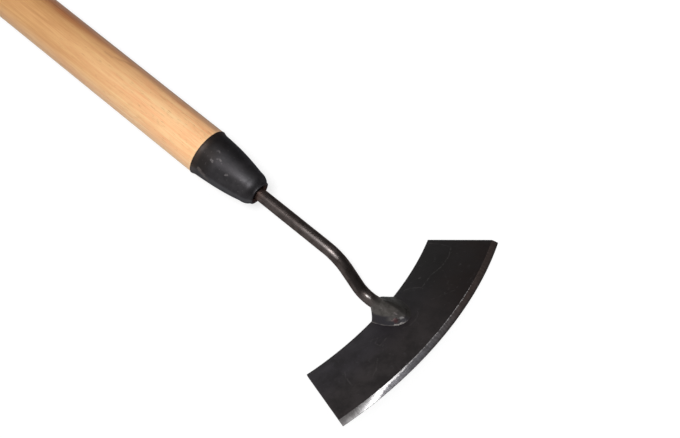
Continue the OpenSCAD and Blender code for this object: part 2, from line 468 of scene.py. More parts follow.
def lacquered_ash(c, d):
    """Ash with growth rings round a pith beside the shaft, fine fibres and pores, under satin lacquer."""
    f = Finish("lacquered_ash", d.rest)
    x, y, z = f.parts(f.point)

    ring_width = 3.6 * MM
    wander = f.drawn(f.point, (2.2, 0, 0), 3)
    ripple = f.drawn(f.point, (9, 60, 60))
    beside_pith = f.math("SUBTRACT", y, f.moved(0.036, x, 0.014))
    over_pith = f.math("SUBTRACT", z, f.moved(0.004, x, -0.009))
    away = f.moved(f.span(0, beside_pith, over_pith), wander, 0.006)
    away = f.moved(away, ripple, 0.0018)
    away = f.moved(away, f.noise(170, 1, at=f.join(away, 0, 0)), 0.0070)
    rings = f.math("FRACT", f.math("DIVIDE", away, ring_width))
    early = f.times(f.rise(rings, 0, 0.14), f.fall(rings, 0.16, 0.80))
    late = f.rise(rings, 0.72, 1)

    drift = f.drawn(f.point, (11, 30, 30), out="Color")
    grain = f.vector("MULTIPLY_ADD", drift, (0, 0.003, 0.003), f.point)
    fibre = f.drawn(grain, (30, 1300, 1300), 3, 0.65)
    coarse = f.drawn(grain, (16, 330, 330), 4, 0.6)
    pores = f.rise(f.drawn(grain, (260, 1700, 1700), 1), 0.62, 0.72)
    flecks = f.rise(f.drawn(grain, (110, 620, 620), 2, 0.6), 0.56, 0.70)
    patches = f.drawn(f.point, (24, 90, 90), 3, 0.6)

    # The ground colour changes up the handle. Towards the ferrule the far flank is painted dark red as painted
    # shade, and the left side is painted paler as painted light.
    up = f.times(x, -1)
    f.colour = f.mix(f.rise(up, -0.02, 0.17), c.wood_pale, c.wood_brown)
    f.lay(c.wood_warm, f.rise(up, 0.34, 0.80))
    # Darker red on the far flank, near the ferrule, is painted shade.
    flank = f.moved(f.math("ADD", y, f.rise(up, 0.09, 0.15, 0, 0.005)), wander, 0.005)
    flank = f.math("ADD", f.rise(flank, 0.0086, 0.0136, 0, 0.50), f.rise(flank, 0.0128, 0.0165, 0, 0.22))
    f.lay((0.315, 0.088, 0.030), flank, f.fall(up, 0.3, 0.6))
    # Paler colour down the left side, near the ferrule, is painted light.
    painted_left_light = f.rise(y, -0.0172, -0.0140, 0.22, 0)
    f.lay((0.95, 0.72, 0.50), painted_left_light, f.fall(up, 0.09, 0.30))

    boldness = f.rise(up, 0.10, 1.25, 0.06, 0.40)
    f.lay(c.wood_ring, boldness, early)
    f.lay(c.wood_ring, boldness, 0.35, late)
    for share, streaks, dark, light in (
        (0.30, f.rise(fibre, 0.30, 0.70), (0.34, 0.29, 0.25), (0.63, 0.66, 0.69)),
        (0.42, f.rise(coarse, 0.28, 0.72), (0.36, 0.33, 0.30), (0.60, 0.62, 0.64)),
        (0.35, f.rise(patches, 0.2, 0.8), (0.41, 0.38, 0.35), (0.58, 0.59, 0.60)),
    ):
        f.colour = f.mix(share, f.colour, f.mix(streaks, dark, light), "OVERLAY")
    f.lay(c.wood_ring, pores, f.moved(0.14, early, 0.40))
    f.lay((0.50, 0.26, 0.105), flecks, 0.22)

    wedge = (-146, 6, 15.9), (-126, 6.4, 15.7), (-110, 7.8, 15.1)
    wedge += (-94, 9, 14.4), (-70, 9.4, 14.2), (-30, 9.2, 14.3)
    f.lay((0.42, 0.115, 0.036), f.stroke(wedge, 0.8, 3, 2), 0.24)
    vein = (-97, 3, 16.7), (-91, 3.6, 16.6), (-86, 5.3, 16.1), (-79, 8.1, 15), (-73, 9.8, 13.9)
    broken = f.rise(coarse, 0.35, 0.6, 0.12, 0.42)
    f.lay((0.34, 0.125, 0.045), f.stroke(vein, 0.1, 1.5, 2.2), broken)
    # A thin pale band on the wood at the ferrule's mouth is a painted highlight.
    f.lay((0.96, 0.72, 0.42), f.fall(up, 0.2 * MM, 2.8 * MM), 0.2)

    roughness = f.moved(f.rise(up, 0.3, 1.2, 0.42, 0.36), fibre, 0.14)
    height = f.moved(f.times(fibre, 0.5), pores, -0.5)
    lacquer = {"Specular_IOR_Level": 0.28, "Coat_Weight": 0.05, "Coat_Roughness": 0.30}
    return f.surface(roughness, height, 0.06 * MM, **lacquer)


def baked_black(c, d):
    """Black ferrule: satin skin with scuffs, a worn brown lip, rust in the nose's hole darkened as painted
    shade, a painted highlight along the top and a painted reflection down the left side.
    """
    f = Finish("baked_black", d.rest)
    x, y, z = f.parts(f.point)
    radius = f.span(0, y, z)
    peel = f.noise(900)
    clouds = f.noise(120, 3, 0.6)
    grit = f.noise(1500, 2, 0.7)

    f.colour = f.mix(f.rise(clouds, 0.35, 0.75), c.ferrule_black, shade(c.ferrule_black, 1.6))
    mouth = f.fall(x, 7 * MM, 18 * MM)
    f.lay((0.0240, 0.0203, 0.0188), mouth, f.rise(y, -2 * MM, 8 * MM, 0.8, 0.3))
    # A pale streak along the top of the ferrule, stronger towards the nose, is a painted highlight.
    painted_highlight_line = (9, -0.5, 16.3), (18, -0.6, 15.6), (27, -1.6, 14.1), (34, -2, 12.7), (40, -1.9, 10.9)
    painted_highlight_line += (43, -1.7, 9.1), (44.8, -1.4, 7.4)
    painted_sheen_share = f.rise(x, 25 * MM, 42 * MM, 0.22, 0.60)
    f.lay((0.088, 0.086, 0.092), f.stroke(painted_highlight_line, 0.5, 5, 1.5), painted_sheen_share)

    scuffs = 0
    for spots, wide in (
        (((10.6, -1.9, 15.9), (11.6, -1.2, 15.9), (12.5, -1.9, 15.7)), 0.35),
        (((11, -8.9, 13.4), (12.2, -8.4, 13.5), (12.8, -9.2, 12.9)), 0.4),
        (((14.2, -5.9, 14.5), (15.3, -5.2, 14.6), (16.4, -5.4, 14.4)), 0.35),
        (((24.6, -9.8, 10.8), (25.5, -9, 11.2)), 0.45),
        (((29.5, 1.2, 14.2), (31.5, 0.7, 13.9)), 0.12),
        (((17.5, 9.8, 12.2), (18.6, 9.1, 12.6)), 0.2),
        (((34.6, -6.2, 11.3), (35.6, -5.7, 11.3)), 0.15),
    ):
        scuffs = f.math("MAXIMUM", scuffs, f.stroke(spots, wide, 0.45, 2.2))
    speckle = f.times(f.rise(f.noise(700, 1), 0.68, 0.76), 0.35)
    scuffs = f.math("MAXIMUM", f.times(scuffs, f.rise(grit, 0.38, 0.58, 0.4, 1)), speckle)
    f.lay((0.150, 0.138, 0.140), scuffs, 0.7)

    lip = f.fall(x, 0.8 * MM, 5.5 * MM)
    f.lay((0.075, 0.052, 0.040), lip, f.rise(clouds, 0.30, 0.62), 0.55)
    # A paler band down the ferrule's left side is a painted reflection.
    side = f.rise(f.math("DIVIDE", y, radius), -1, -0.955, 0.42, 0)
    f.lay((0.115, 0.115, 0.122), side, f.rise(clouds, 0.3, 0.6, 0.6, 1))
    # A pale brown streak low on the left behind the lip is partly wear and partly a painted reflection off the
    # flared mouth.
    rub_and_reflection_line = (6.2, -16, 5), (8.6, -16.1, 4), (11.5, -16, 2), (14, -15.7, 0.6)
    worn = f.stroke(rub_and_reflection_line, 0.2, 2.2, 4)
    f.lay((0.118, 0.103, 0.097), worn, f.rise(clouds, 0.30, 0.55, 0.4, 0.85))
    # Dark rust round the hole in the nose, darkened further as painted shade in the recess.
    nose = f.times(f.rise(x, 43.5 * MM, 45 * MM), f.fall(radius, 6.4 * MM, 8.4 * MM))
    f.lay(shade(c.rust, 0.35), nose, f.rise(grit, 0.3, 0.6, 0.4, 0.9))

    roughness = f.moved(f.rise(clouds, 0.3, 0.7, 0.46, 0.56), scuffs, 0.10)
    height = f.moved(f.times(peel, 0.6), clouds, 2)
    satin = {"Specular_IOR_Level": 0.3, "Specular_Tint": (0.35, 0.35, 0.37, 1)}
    return f.surface(roughness, height, 0.04 * MM, 0.85, **satin)


def browned_bar(c, d):
    """Bar steel browned by handling, with drawing lines along it and fine rust."""
    f = Finish("browned_bar", d.rest)
    x = f.parts(f.point)[0]
    lines = f.drawn(f.point, (60, 1500, 1500), 2, 0.6)
    clouds = f.noise(160, 3, 0.6)
    grit = f.noise(1700, 3, 0.7)

    f.colour = f.mix(f.rise(clouds, 0.30, 0.72), c.bar_brown, shade(c.bar_brown, 0.5))
    f.lay((0.13, 0.115, 0.11), f.rise(lines, 0.4, 0.8), 0.35)
    rust = f.times(f.rise(grit, 0.54, 0.70), f.rise(clouds, 0.35, 0.65, 0.25, 0.9))
    f.lay(c.rust, rust, 0.5)
    f.lay(c.rust, f.fall(x, 46 * MM, 52 * MM), 0.35)
    foot = f.near(f.point, d.blade_frame @ (Vector((4, 0, 7)) * MM), 6 * MM, 6 * MM)
    f.lay(c.weld_olive, foot, 0.8)

    # Paler steel along the top of the bar and round the outside of its second bend is a painted highlight.
    painted_highlight_line = f.stroke(((48, -2, 4), (104, -2, 4), (114, -2, 2.4)), 0.4, 1.3, 0.8)
    painted_highlight_share = f.times(f.rise(grit, 0.35, 0.6, 0.5, 1), f.rise(x, 70 * MM, 104 * MM, 0.06, 0.50))
    f.lay((0.24, 0.215, 0.21), painted_highlight_line, painted_highlight_share)
    # The spot on the second bend is a painted highlight.
    second = f.stroke(((141.4, -1.54, -15.9), (142.9, -1.54, -16.1), (144.4, -1.54, -16)), 0.15, 0.8, 0.5)
    f.lay((0.31, 0.30, 0.295), second, 0.5)

    metallic = f.moved(f.moved(0.92, rust, -0.3), foot, -0.2)
    roughness = f.moved(f.rise(clouds, 0.3, 0.7, 0.37, 0.45), rust, 0.06)
    height = f.moved(f.moved(clouds, grit, 0.4), lines, 0.6)
    oxide = {"Specular_IOR_Level": 0.4, "Specular_Tint": (0.4, 0.38, 0.38, 1)}
    return f.surface(roughness, height, 0.07 * MM, metallic, **oxide)


def mill_scale(s, c, d):
    """Rolled skin of the blade: blue-black with brown clouds, smudges and a few light scratches."""
    f = Finish("mill_scale", d.rest @ d.arc_frame)
    x, y, _ = f.parts(f.point)
    broad = f.noise(14)
    clouds = f.noise(75, 4, 0.6)
    grit = f.noise(1300, 3, 0.65)

    # The plate is paler on the left, as a painted reflection, and darker and browner on the right, most near
    # the hollow edge.
    brown = shade(c.scale_black, 1.12, 0.86, 0.75)
    blue = shade(c.scale_black, 0.98, 0.99, 1.13)
    reach = f.span(x, y, 0)
    forward = f.rise(reach, d.hollow_r + 12 * MM, d.hollow_r + 34 * MM)
    aside = f.rise(f.moved(y, broad, 0.05), -0.01, 0.075)
    left = f.mix(forward, shade(blue, 1.62), (0.0348, 0.0298, 0.0302))
    right = f.mix(forward, shade(brown, 0.12), shade(brown, 0.52))
    f.colour = f.mix(aside, left, right)
    f.lay(shade(c.scale_black, 0.66), f.rise(clouds, 0.35, 0.72), 0.7)
    smudge = f.rise(f.noise(210, 3, 0.65, 0.6), 0.60, 0.74)
    f.lay((0.052, 0.050, 0.052), smudge, f.rise(broad, 0.4, 0.6), 0.4)

    # Each scratch runs through spots, given by how far they are from the hollow edge and from the middle.
    scratches = 0
    for spots, wide, depth in (
        (((8.9, 64.8), (12.9, 57.2), (14, 47.6), (11.9, 37.9), (12.6, 30.3)), 0.10, 0.27),
        (((12.6, 30.3), (13.2, 26.2), (6.3, 22.9), (3, 18.9)), 0.10, 0.27),
        (((-8.6, 62.3), (-0.4, 64.4), (8.9, 64.8)), 0.06, 0.22),
        (((10.6, -23.7), (13.2, -20.8), (14.4, -25), (18.8, -25.3), (18.3, -18.5)), 0.16, 0.34),
        (((11.2, -51.6), (15, -55), (22.3, -57.2)), 0.14, 0.27),
        (((24, -34), (29, -41), (30.5, -47)), 0.12, 0.24),
        (((25.3, 19.4), (31, 27), (35.6, 33.1)), 0.06, 0.15),
        (((23.6, -7.5), (26.2, -3.5), (27, 0.5), (26.2, 4.5), (23.9, 8)), 0.15, 0.20),
        (((6.1, 32.3), (6.5, 32.9)), 0.40, 0.30),
        (((3, 26.3), (3.4, 26.7)), 0.30, 0.26),
    ):
        places = [(d.hollow_r / MM + out, beside, s.blade_t / MM) for out, beside in spots]
        scratches = f.math("MAXIMUM", scratches, f.times(f.stroke(places, wide, 0.55, 1.6), depth))
    scratches = f.times(scratches, f.rise(f.noise(330), 0.40, 0.60, 0.25, 1))
    specks = f.rise(f.noise(420, 1), 0.73, 0.78)
    scratches = f.math("MAXIMUM", scratches, f.times(specks, 0.15))
    f.lay((0.085, 0.080, 0.078), scratches)
    rim = f.fall(reach, d.hollow_r + 0.3 * MM, d.hollow_r + 1.8 * MM)
    f.lay((0.009, 0.0085, 0.0085), rim, 0.6)

    roughness = f.moved(f.rise(clouds, 0.3, 0.7, 0.47, 0.58), scratches, -0.1)
    height = f.moved(f.times(clouds, 2), grit, 0.5)
    return f.surface(roughness, height, 0.06 * MM, Specular_IOR_Level=0.13)


def ground_edge(s, c, d):
    """Bare steel of the bevel: a bright painted highlight streak, grey grinding marks, a pale burr and brown
    ends.
    """
    f = Finish("ground_edge", d.rest @ d.arc_frame)
    x, y, _ = f.parts(f.point)
    along = f.times(f.math("ARCTAN2", y, x), s.edge_r)
    depth = f.math("SUBTRACT", f.span(x, y, 0), s.edge_r - s.bevel_width)
    laid = f.join(along, depth, 0)
    marks = f.drawn(laid, (420, 90, 0), 2, 0.6)
    fine = f.drawn(laid, (800, 300, 0), 2, 0.7)
    broad = f.drawn(laid, (170, 130, 0))
    drift = f.drawn(laid, (40, 0, 0))

    browned = f.rise(f.moved(along, drift, 0.03), -0.018, 0.052)
    grey = f.mix(browned, (0.145, 0.141, 0.151), (0.048, 0.034, 0.030))
    slanted = f.moved(along, f.math("SUBTRACT", depth, s.bevel_width / 2), 4)
    slanted = f.moved(slanted, f.math("SUBTRACT", broad, 0.5), 0.014)
    fresh_part = f.rise(slanted, -0.071, -0.059)
    tired = f.math("SUBTRACT", 1, fresh_part)
    tip = f.mix(f.rise(slanted, -0.081, -0.068), (0.100, 0.095, 0.095), (0.25, 0.244, 0.244))
    f.colour = f.mix(fresh_part, tip, grey)
    lines = f.rise(f.times(f.math("ADD", marks, fine), 0.5), 0.34, 0.66)
    f.colour = f.mix(1, f.colour, f.mix(lines, (0.76, 0.75, 0.74), (1.22, 1.22, 1.23)), "MULTIPLY")
    f.lay((0.060, 0.056, 0.056), f.rise(fine, 0.46, 0.60), tired, 0.45)
    outer = f.rise(depth, 0.5 * s.bevel_width, 0.95 * s.bevel_width)
    f.lay((0.024, 0.019, 0.018), outer, f.rise(along, -0.045, 0.02), 0.7)

    # A painted highlight of bright steel is widest towards one tip, narrows to a ragged line and fades out.
    wide = f.rise(along, -0.064, -0.0445, 4.1 * MM, 1.1 * MM)
    wide = f.math("ADD", wide, f.rise(along, -0.046, -0.018, 0, -1.05 * MM))
    wide = f.math("ADD", wide, f.rise(along, 0.035, 0.06, 0, -1.2 * MM))
    wide = f.moved(wide, f.math("SUBTRACT", marks, 0.5), 1.2 * MM)
    wide = f.moved(wide, f.math("SUBTRACT", fine, 0.5), 1.6 * MM)
    painted_highlight_streak = f.fall(f.math("SUBTRACT", depth, wide), -0.35 * MM, 0.35 * MM)
    f.lay(c.ground_steel, painted_highlight_streak, fresh_part)
    burr = f.times(f.fall(depth, 0.3 * MM, 0.9 * MM), f.rise(fine, 0.42, 0.60))
    burr = f.times(burr, f.rise(along, -0.045, -0.032), f.rise(along, -0.02, 0.03, 0.85, 0.16))
    gaps = f.rise(f.drawn(laid, (330, 0, 0), 2, 0.6), 0.40, 0.56, 0.1, 1)
    f.lay((0.36, 0.34, 0.335), burr, gaps, f.rise(along, 0.04, 0.06, 1, 0.2))

    metallic = f.moved(0.95, browned, -0.25)
    worn = f.moved(f.times(browned, 0.16), tired, 0.25)
    roughness = f.math("ADD", f.rise(marks, 0.3, 0.7, 0.29, 0.32), worn)
    return f.surface(roughness, marks, 0.002 * MM, metallic)


def dressed_weld(s, c, d):
    """Weld and toe dressed with a grinder: olive grey on top, blue-black flanks, pale toe, rusty pit."""
    f = Finish("dressed_weld", d.rest @ d.blade_frame)
    x, y, z = f.parts(f.point)
    clouds = f.noise(260, 3, 0.6)
    grit = f.noise(1500, 3, 0.7)
    lines = f.drawn(f.point, (120, 700, 700), 2, 0.6)

    flank = shade(c.weld_olive, 0.16, 0.15, 0.22)
    far = shade(c.weld_olive, 0.17, 0.16, 0.15)
    on_top = f.times(f.rise(z, 6.3 * MM, 7.6 * MM), f.fall(y, 0.6 * MM, 2.2 * MM))
    dressed = f.times(f.rise(x, 9 * MM, 14 * MM), f.rise(z, 4.6 * MM, 5.4 * MM))
    dressed = f.times(dressed, f.rise(y, 0.2 * MM, 1.6 * MM, 0.58, 0))
    on_top = f.math("MAXIMUM", on_top, dressed)
    bright = f.mix(f.times(f.rise(lines, 0.40, 0.75), 0.5), c.weld_olive, (0.13, 0.118, 0.112))
    f.colour = f.mix(on_top, f.mix(f.rise(y, -1.5 * MM, 2.5 * MM), flank, far), bright)
    f.lay(shade(c.weld_olive, 0.25), f.rise(clouds, 0.45, 0.70), 0.5)
    toe = f.times(f.fall(z, s.blade_t, s.blade_t + 0.6 * MM), f.rise(clouds, 0.35, 0.6, 0.3, 1))
    near_side = f.rise(y, -2 * MM, 1 * MM, 1, 0.15)
    f.lay((0.14, 0.125, 0.12), toe, near_side, 0.6)
    pit = f.near(f.point, Vector((16.6, -5.2, 4.9)) * MM, 0.6 * MM, 1.8 * MM)
    f.lay((0.036, 0.006, 0.008), pit, f.rise(grit, 0.3, 0.6, 0.5, 1))
    broken = f.rise(grit, 0.35, 0.55, 0.4, 1)
    ridge = (13, -2.4, 7.2), (14.2, -1.9, 7.2), (15.3, -1.9, 6.9)
    nose = (18.6, -2.9, 5.6), (19.6, -1.6, 5.5), (20.9, -1.2, 5), (21.8, -1.7, 4.4)
    rust_edge = (14.4, -6.6, 5), (15, -5.4, 5.5), (15.6, -4.9, 5.8)
    foot_line = (17, -7.9, 3.4), (19, -6.5, 3.4), (20.6, -5, 3.4), (22.1, -2.9, 3.4)
    for spots, wide, share, mark in (
        (ridge, 0.25, 0.55, (0.19, 0.165, 0.165)),
        (nose, 0.20, 0.70, (0.23, 0.22, 0.22)),
        (rust_edge, 0.10, 0.40, (0.20, 0.12, 0.12)),
        (foot_line, 0.28, 0.75, (0.30, 0.28, 0.27)),
    ):
        f.lay(mark, f.stroke(spots, wide, 0.6, 1.8), broken, share)

    metallic = f.times(on_top, 0.4)
    roughness = f.moved(f.rise(clouds, 0.3, 0.7, 0.58, 0.70), on_top, -0.18)
    height = f.moved(f.times(clouds, 2), grit, 0.6)
    return f.surface(roughness, height, 0.10 * MM, metallic, Specular_IOR_Level=0.28)


def pale_floor(c):
    """Plain pale floor that reads as white to the eye and in gloss, and still takes a shadow."""
    material = bpy.data.materials.new("pale_floor")
    nodes = Nodes(material)
    path, seen, glow_level = nodes.node("LightPath").outputs, 0, 0.74
    for ray in ("Is Camera Ray", "Is Glossy Ray", "Is Transmission Ray"):
        seen = nodes.math("MAXIMUM", seen, path[ray])
    white = {"Color": (1, 1, 1, 1), "Strength": nodes.times(seen, glow_level)}
    glow = nodes.node("Emission", white)
    matt = nodes.node("BsdfDiffuse", {"Color": (*c.floor_white, 1)})
    both = nodes.node("AddShader", {0: matt.outputs[0], 1: glow.outputs[0]})
    nodes.node("OutputMaterial", {0: both.outputs[0]})
    return material


def studio_world():
    """Soft light from all round, weaker overhead and towards the back."""
    world = bpy.data.worlds.new("studio")
    nodes = Nodes(world)
    _, y, z = nodes.parts(nodes.node("TexCoord").outputs["Generated"])
    levels = []
    for part, stops in (
        (z, ((0, 0.50), (0.10, 0.34), (0.42, 0.10), (1, 0.07))),
        (y, ((0, 1), (0.5, 0.55))),
    ):
        ramp = nodes.node("ValToRGB", {0: part})
        elements = ramp.color_ramp.elements
        elements.remove(elements[1])
        for i, (place, level) in enumerate(stops):
            stop = elements[0] if i == 0 else elements.new(place)
            stop.position, stop.color = place, (level, level, level, 1)
        levels.append(ramp.outputs[0])
    background = nodes.node("Background", {0: nodes.mix(1, *levels, "MULTIPLY")})
    nodes.node("OutputWorld", {0: background.outputs[0]})
    return world


# ---------------- pieces


def side_radius(s, share):
    """Outer half thickness of the ferrule at a share of its side."""
    return between(s.ferrule_mouth_d, s.ferrule_nose_d, share) / 2 + 4 * s.ferrule_swell * share * (1 - share)


def nose_point(s, d, inset, share):
    """A point of the ferrule's nose, a quarter of an ellipse, as place and half thickness."""
    t = pi / 2 * share
    return (
        between(d.side_length, s.ferrule_length - inset, sin(t)),
        between(d.bar_r + s.nose_gap, side_radius(s, 1) - inset, cos(t)),
    )


def handle_radius(s, d, x):
    """Half thickness of the handle at a place along it."""
    if x > -s.even_length:
        return d.handle_r
    if x > d.waist_x:
        u = (x + s.even_length) / (d.waist_x + s.even_length)
        return between(d.handle_r, s.waist_d / 2, u * u * (3 - 2 * u))
    return between(s.waist_d / 2, d.end_r, (d.waist_x - x) / (d.waist_x - d.end_x))


class HOE_OT_handle(bpy.types.Operator):
    """Turns the handle and bores its pilot hole and hanging hole"""

    bl_idname = "hoe.handle"
    bl_label = "Handle"

    def execute(self, context):
        s, c, d = hoe(context)
        inset = s.ferrule_wall + s.fit_gap
        pilot = [
            (-s.tang_length - s.fit_gap, s.tang_tip_d / 2 + s.fit_gap),
            (s.tang_point - s.tang_length, d.bar_r + s.fit_gap),
            (d.side_length, d.bar_r + s.fit_gap),
        ]
        nose = [(u * d.side_length, side_radius(s, u) - inset) for u in reversed(shares(12))]
        shaft = [(u * d.end_x, handle_radius(s, d, u * d.end_x)) for u in shares(140)]
        quarter = [pi / 2 * u for u in shares(20)[1:-1]]
        dome = [(d.end_x - d.end_r * sin(t), d.end_r * cos(t)) for t in quarter]
        piece = turned("handle_shaft", pilot + nose + shaft + dome, sides=96)
        close_ends()
        leave_edit()

        bore_r = s.hang_hole_d / 2
        even, easing, flare, clear = 14.6 * MM, 2.6 * MM, 1.2 * MM, 24 * MM
        half = [(even + easing * u, bore_r + flare * u**2.2) for u in shares(8)]
        half += [(clear, bore_r + 2 * flare)]
        cutter = turned("bore_cutter", [(-x, r) for x, r in reversed(half)] + half, sides=64)
        close_ends()
        leave_edit()
        cutter.matrix_world = Matrix.Translation((d.hole_x, 0, 0)) @ Matrix.Rotation(pi / 2, 4, "Y")
        context.view_layer.update()
        finish_with(piece, "BOOLEAN", object=cutter, operation="DIFFERENCE", solver="EXACT")
        bpy.data.meshes.remove(cutter.data)

        set_down(piece, d.rest, sharp=radians(35))
        hand_over(piece, "handle", "ash", lacquered_ash(c, d))
        return {"FINISHED"}


class HOE_OT_ferrule(bpy.types.Operator):
    """Turns the ferrule as a shell with a flared lip and a domed nose"""

    bl_idname = "hoe.ferrule"
    bl_label = "Ferrule"

    def execute(self, context):
        s, c, d = hoe(context)
        lip_r = s.ferrule_mouth_d / 2 + s.lip_flare
        lip_share = s.lip_length / d.side_length
        lip_end = side_radius(s, lip_share)
        rounding = (0.0, 0.30), (0.06, 0.10), (0.25, 0.02)
        lip = [(along * MM, lip_r - inwards * MM) for along, inwards in rounding]
        lip += [(s.lip_length * u, between(lip_r, lip_end, u**0.8)) for u in (0.2, 0.4, 0.6, 0.8)]
        past_lip = [between(lip_share, 1, u) for u in shares(24)]
        side = [(u * d.side_length, side_radius(s, u)) for u in past_lip]
        rim_r = d.bar_r + 4.3 * MM
        hole_r = d.bar_r + s.nose_gap
        # The dished rim, in millimetres back from the nose and out from its hole.
        rim = (0.42, 3.6), (0.12, 3), (0.02, 2.5), (0.1, 2), (0.38, 1.4), (0.9, 0.8), (1.3, 0.35), (1.5, 0)
        nose = [nose_point(s, d, 0, u) for u in shares(20)[1:]]
        nose = [(x, r) for x, r in nose if r > rim_r]
        nose += [(s.ferrule_length - back * MM, hole_r + out * MM) for back, out in rim]
        nose_wall = s.ferrule_wall + 1.3 * MM
        inner_nose = [nose_point(s, d, nose_wall, u) for u in reversed(shares(12)[1:])]
        inner_side = [(u * d.side_length, side_radius(s, u) - s.ferrule_wall) for u in reversed(shares(16))]
        piece = turned("ferrule_shell", lip + side + nose + inner_nose + inner_side + lip[:1], sides=144)
        face_outwards()
        leave_edit()
        dent(piece, "ferrule_dents", patch=14 * MM, depth=0.35 * MM)
        set_down(piece, d.rest, sharp=radians(40))
        hand_over(piece, "ferrule", "black_steel", baked_black(c, d))
        return {"FINISHED"}


class HOE_OT_neck(bpy.types.Operator):
    """Draws out the tang, bends the bar twice and dresses the foot"""

    bl_idname = "hoe.neck"
    bl_label = "Neck"

    def execute(self, context):
        s, c, d = hoe(context)
        tang_end = s.tang_point - s.tang_length
        straight = [(-s.tang_length, s.tang_tip_d / 2)]
        straight += [(between(tang_end, d.bend_start.x, u), d.bar_r) for u in shares(16)]
        piece = turned("neck_bar", straight, sides=48)
        # Spin turns against the right-hand rule, so the axes point the other way.
        bpy.ops.mesh.spin(steps=16, angle=d.bend_angle, center=d.bend_centre, axis=-ACROSS)
        for _ in range(4):
            extrude(d.falling * (s.drop / 4))
        bpy.ops.mesh.spin(steps=30, angle=s.dip_angle, center=d.foot_centre, axis=ACROSS)

        round_r = 1.3 * d.bar_r
        stations = [s.foot_length * u for u in (0.1, 0.2, 0.3, 0.4, 0.5, 0.6, 0.7, 0.8, 0.88)]
        stations += [s.foot_length - back * MM for back in (1.7, 1.0, 0.5, 0.2, 0.05)]
        reached, wide = 0.0, d.bar_r
        for station in stations:
            extrude(d.forward * (station - reached))
            past = station - (s.foot_length - round_r)
            next_wide = min(d.bar_r, sqrt(max(round_r**2 - past**2, 0.0))) if past > 0 else d.bar_r
            resize((1, next_wide / wide, 1), (0, 0, 0))
            reached, wide = station, next_wide
        close_ends()

        to_blade = d.blade_frame.inverted()

        def on_foot(face, start, below=inf):
            middle = to_blade @ face.calc_center_median()
            return middle.x > start and middle.z < below

        pick("FACE", lambda face: on_foot(face, start=0.6 * MM))
        slope_up = d.blade_frame.to_3x3() @ d.slope_up
        cut(d.blade_frame @ d.slope_start, slope_up, use_fill=True, clear_outer=True)
        pick("FACE", lambda face: on_foot(face, start=-8 * MM, below=15 * MM))
        cut(d.blade_frame @ Vector((0, 0, s.blade_t)), d.upward, use_fill=True, clear_inner=True)

        ridge_start, ridge_base, crease = 3 * MM, 3.6 * MM, 0.45

        def on_ridge(edge):
            middle = to_blade @ ((edge.verts[0].co + edge.verts[1].co) / 2)
            above = middle.x > ridge_start and middle.z > ridge_base
            return above and len(edge.link_faces) == 2 and edge.calc_face_angle() > crease

        pick("EDGE", on_ridge)
        bpy.ops.mesh.bevel(offset=0.7 * MM, segments=3, affect="EDGES")
        face_outwards()
        leave_edit()
        dent(piece, "bar_dents", patch=7 * MM, depth=0.12 * MM)
        hand_over(piece, "neck", "bar_steel", browned_bar(c, d), dressed_weld(s, c, d))
        refinish(piece, lambda face: on_foot(face, start=1.5 * MM))
        set_down(piece, d.rest, sharp=radians(32))
        return {"FINISHED"}


class HOE_OT_blade(bpy.types.Operator):
    """Spins the blade's section into a crescent and grinds its bevel"""

    bl_idname = "hoe.blade"
    bl_label = "Blade"

    def execute(self, context):
        s, c, d = hoe(context)
        middle = ((d.hollow_r + s.edge_r) / 2, 0, s.blade_t / 2)
        upright = {"size": s.blade_t, "location": middle, "rotation": (pi / 2, 0, 0)}
        piece = fresh("blade_plate", bpy.ops.mesh.primitive_plane_add, **upright)
        resize((s.blade_depth / s.blade_t, 1, 1), middle)
        bevel_line = s.edge_r - s.bevel_width
        belly = 0.15 * MM
        line = (
            Vector((bevel_line, 0, s.blade_t)),
            Vector((s.edge_r - s.bevel_width / 2, 0, (s.blade_t + s.edge_land) / 2 + belly)),
            Vector((s.edge_r, 0, s.edge_land)),
        )
        for a, b in zip(line, line[1:]):
            bpy.ops.mesh.select_all(action="SELECT")
            across = (b - a).normalized()
            cut(b, (-across.z, 0, across.x), clear_outer=True)
        bpy.ops.mesh.select_all(action="SELECT")
        # Spin turns against the right-hand rule, so its axis points down.
        bpy.ops.mesh.spin(steps=220, angle=2 * d.half_span, center=(0, 0, 0), axis=(0, 0, -1))
        face_outwards()
        ragged_from, ragged_to, near_line = radians(-5), radians(10), 0.1 * MM

        def on_burr(v):
            turned_by = atan2(v.co.y, v.co.x) - d.half_span
            on_line = abs(v.co.xy.length - bevel_line) < near_line and v.co.z > s.blade_t / 2
            return on_line and ragged_from < turned_by < ragged_to

        pick("VERT", on_burr)
        bpy.ops.transform.vertex_random(offset=0.09 * MM, seed=7)
        leave_edit()
        softened = {"width": 0.16 * MM, "segments": 2, "limit_method": "ANGLE", "angle_limit": radians(60)}
        finish_with(piece, "BEVEL", **softened)
        hand_over(piece, "blade", "blade_steel", mill_scale(s, c, d), ground_edge(s, c, d))

        def ground_face(face):
            out = face.calc_center_median().xy
            facing_edge = face.normal.z > 0.3 and face.normal.xy.dot(out) > 0.0
            return facing_edge and out.length > bevel_line + 0.05 * MM

        refinish(piece, ground_face)
        set_down(piece, d.rest @ d.arc_frame @ Matrix.Rotation(-d.half_span, 4, "Z"), sharp=radians(26))
        return {"FINISHED"}


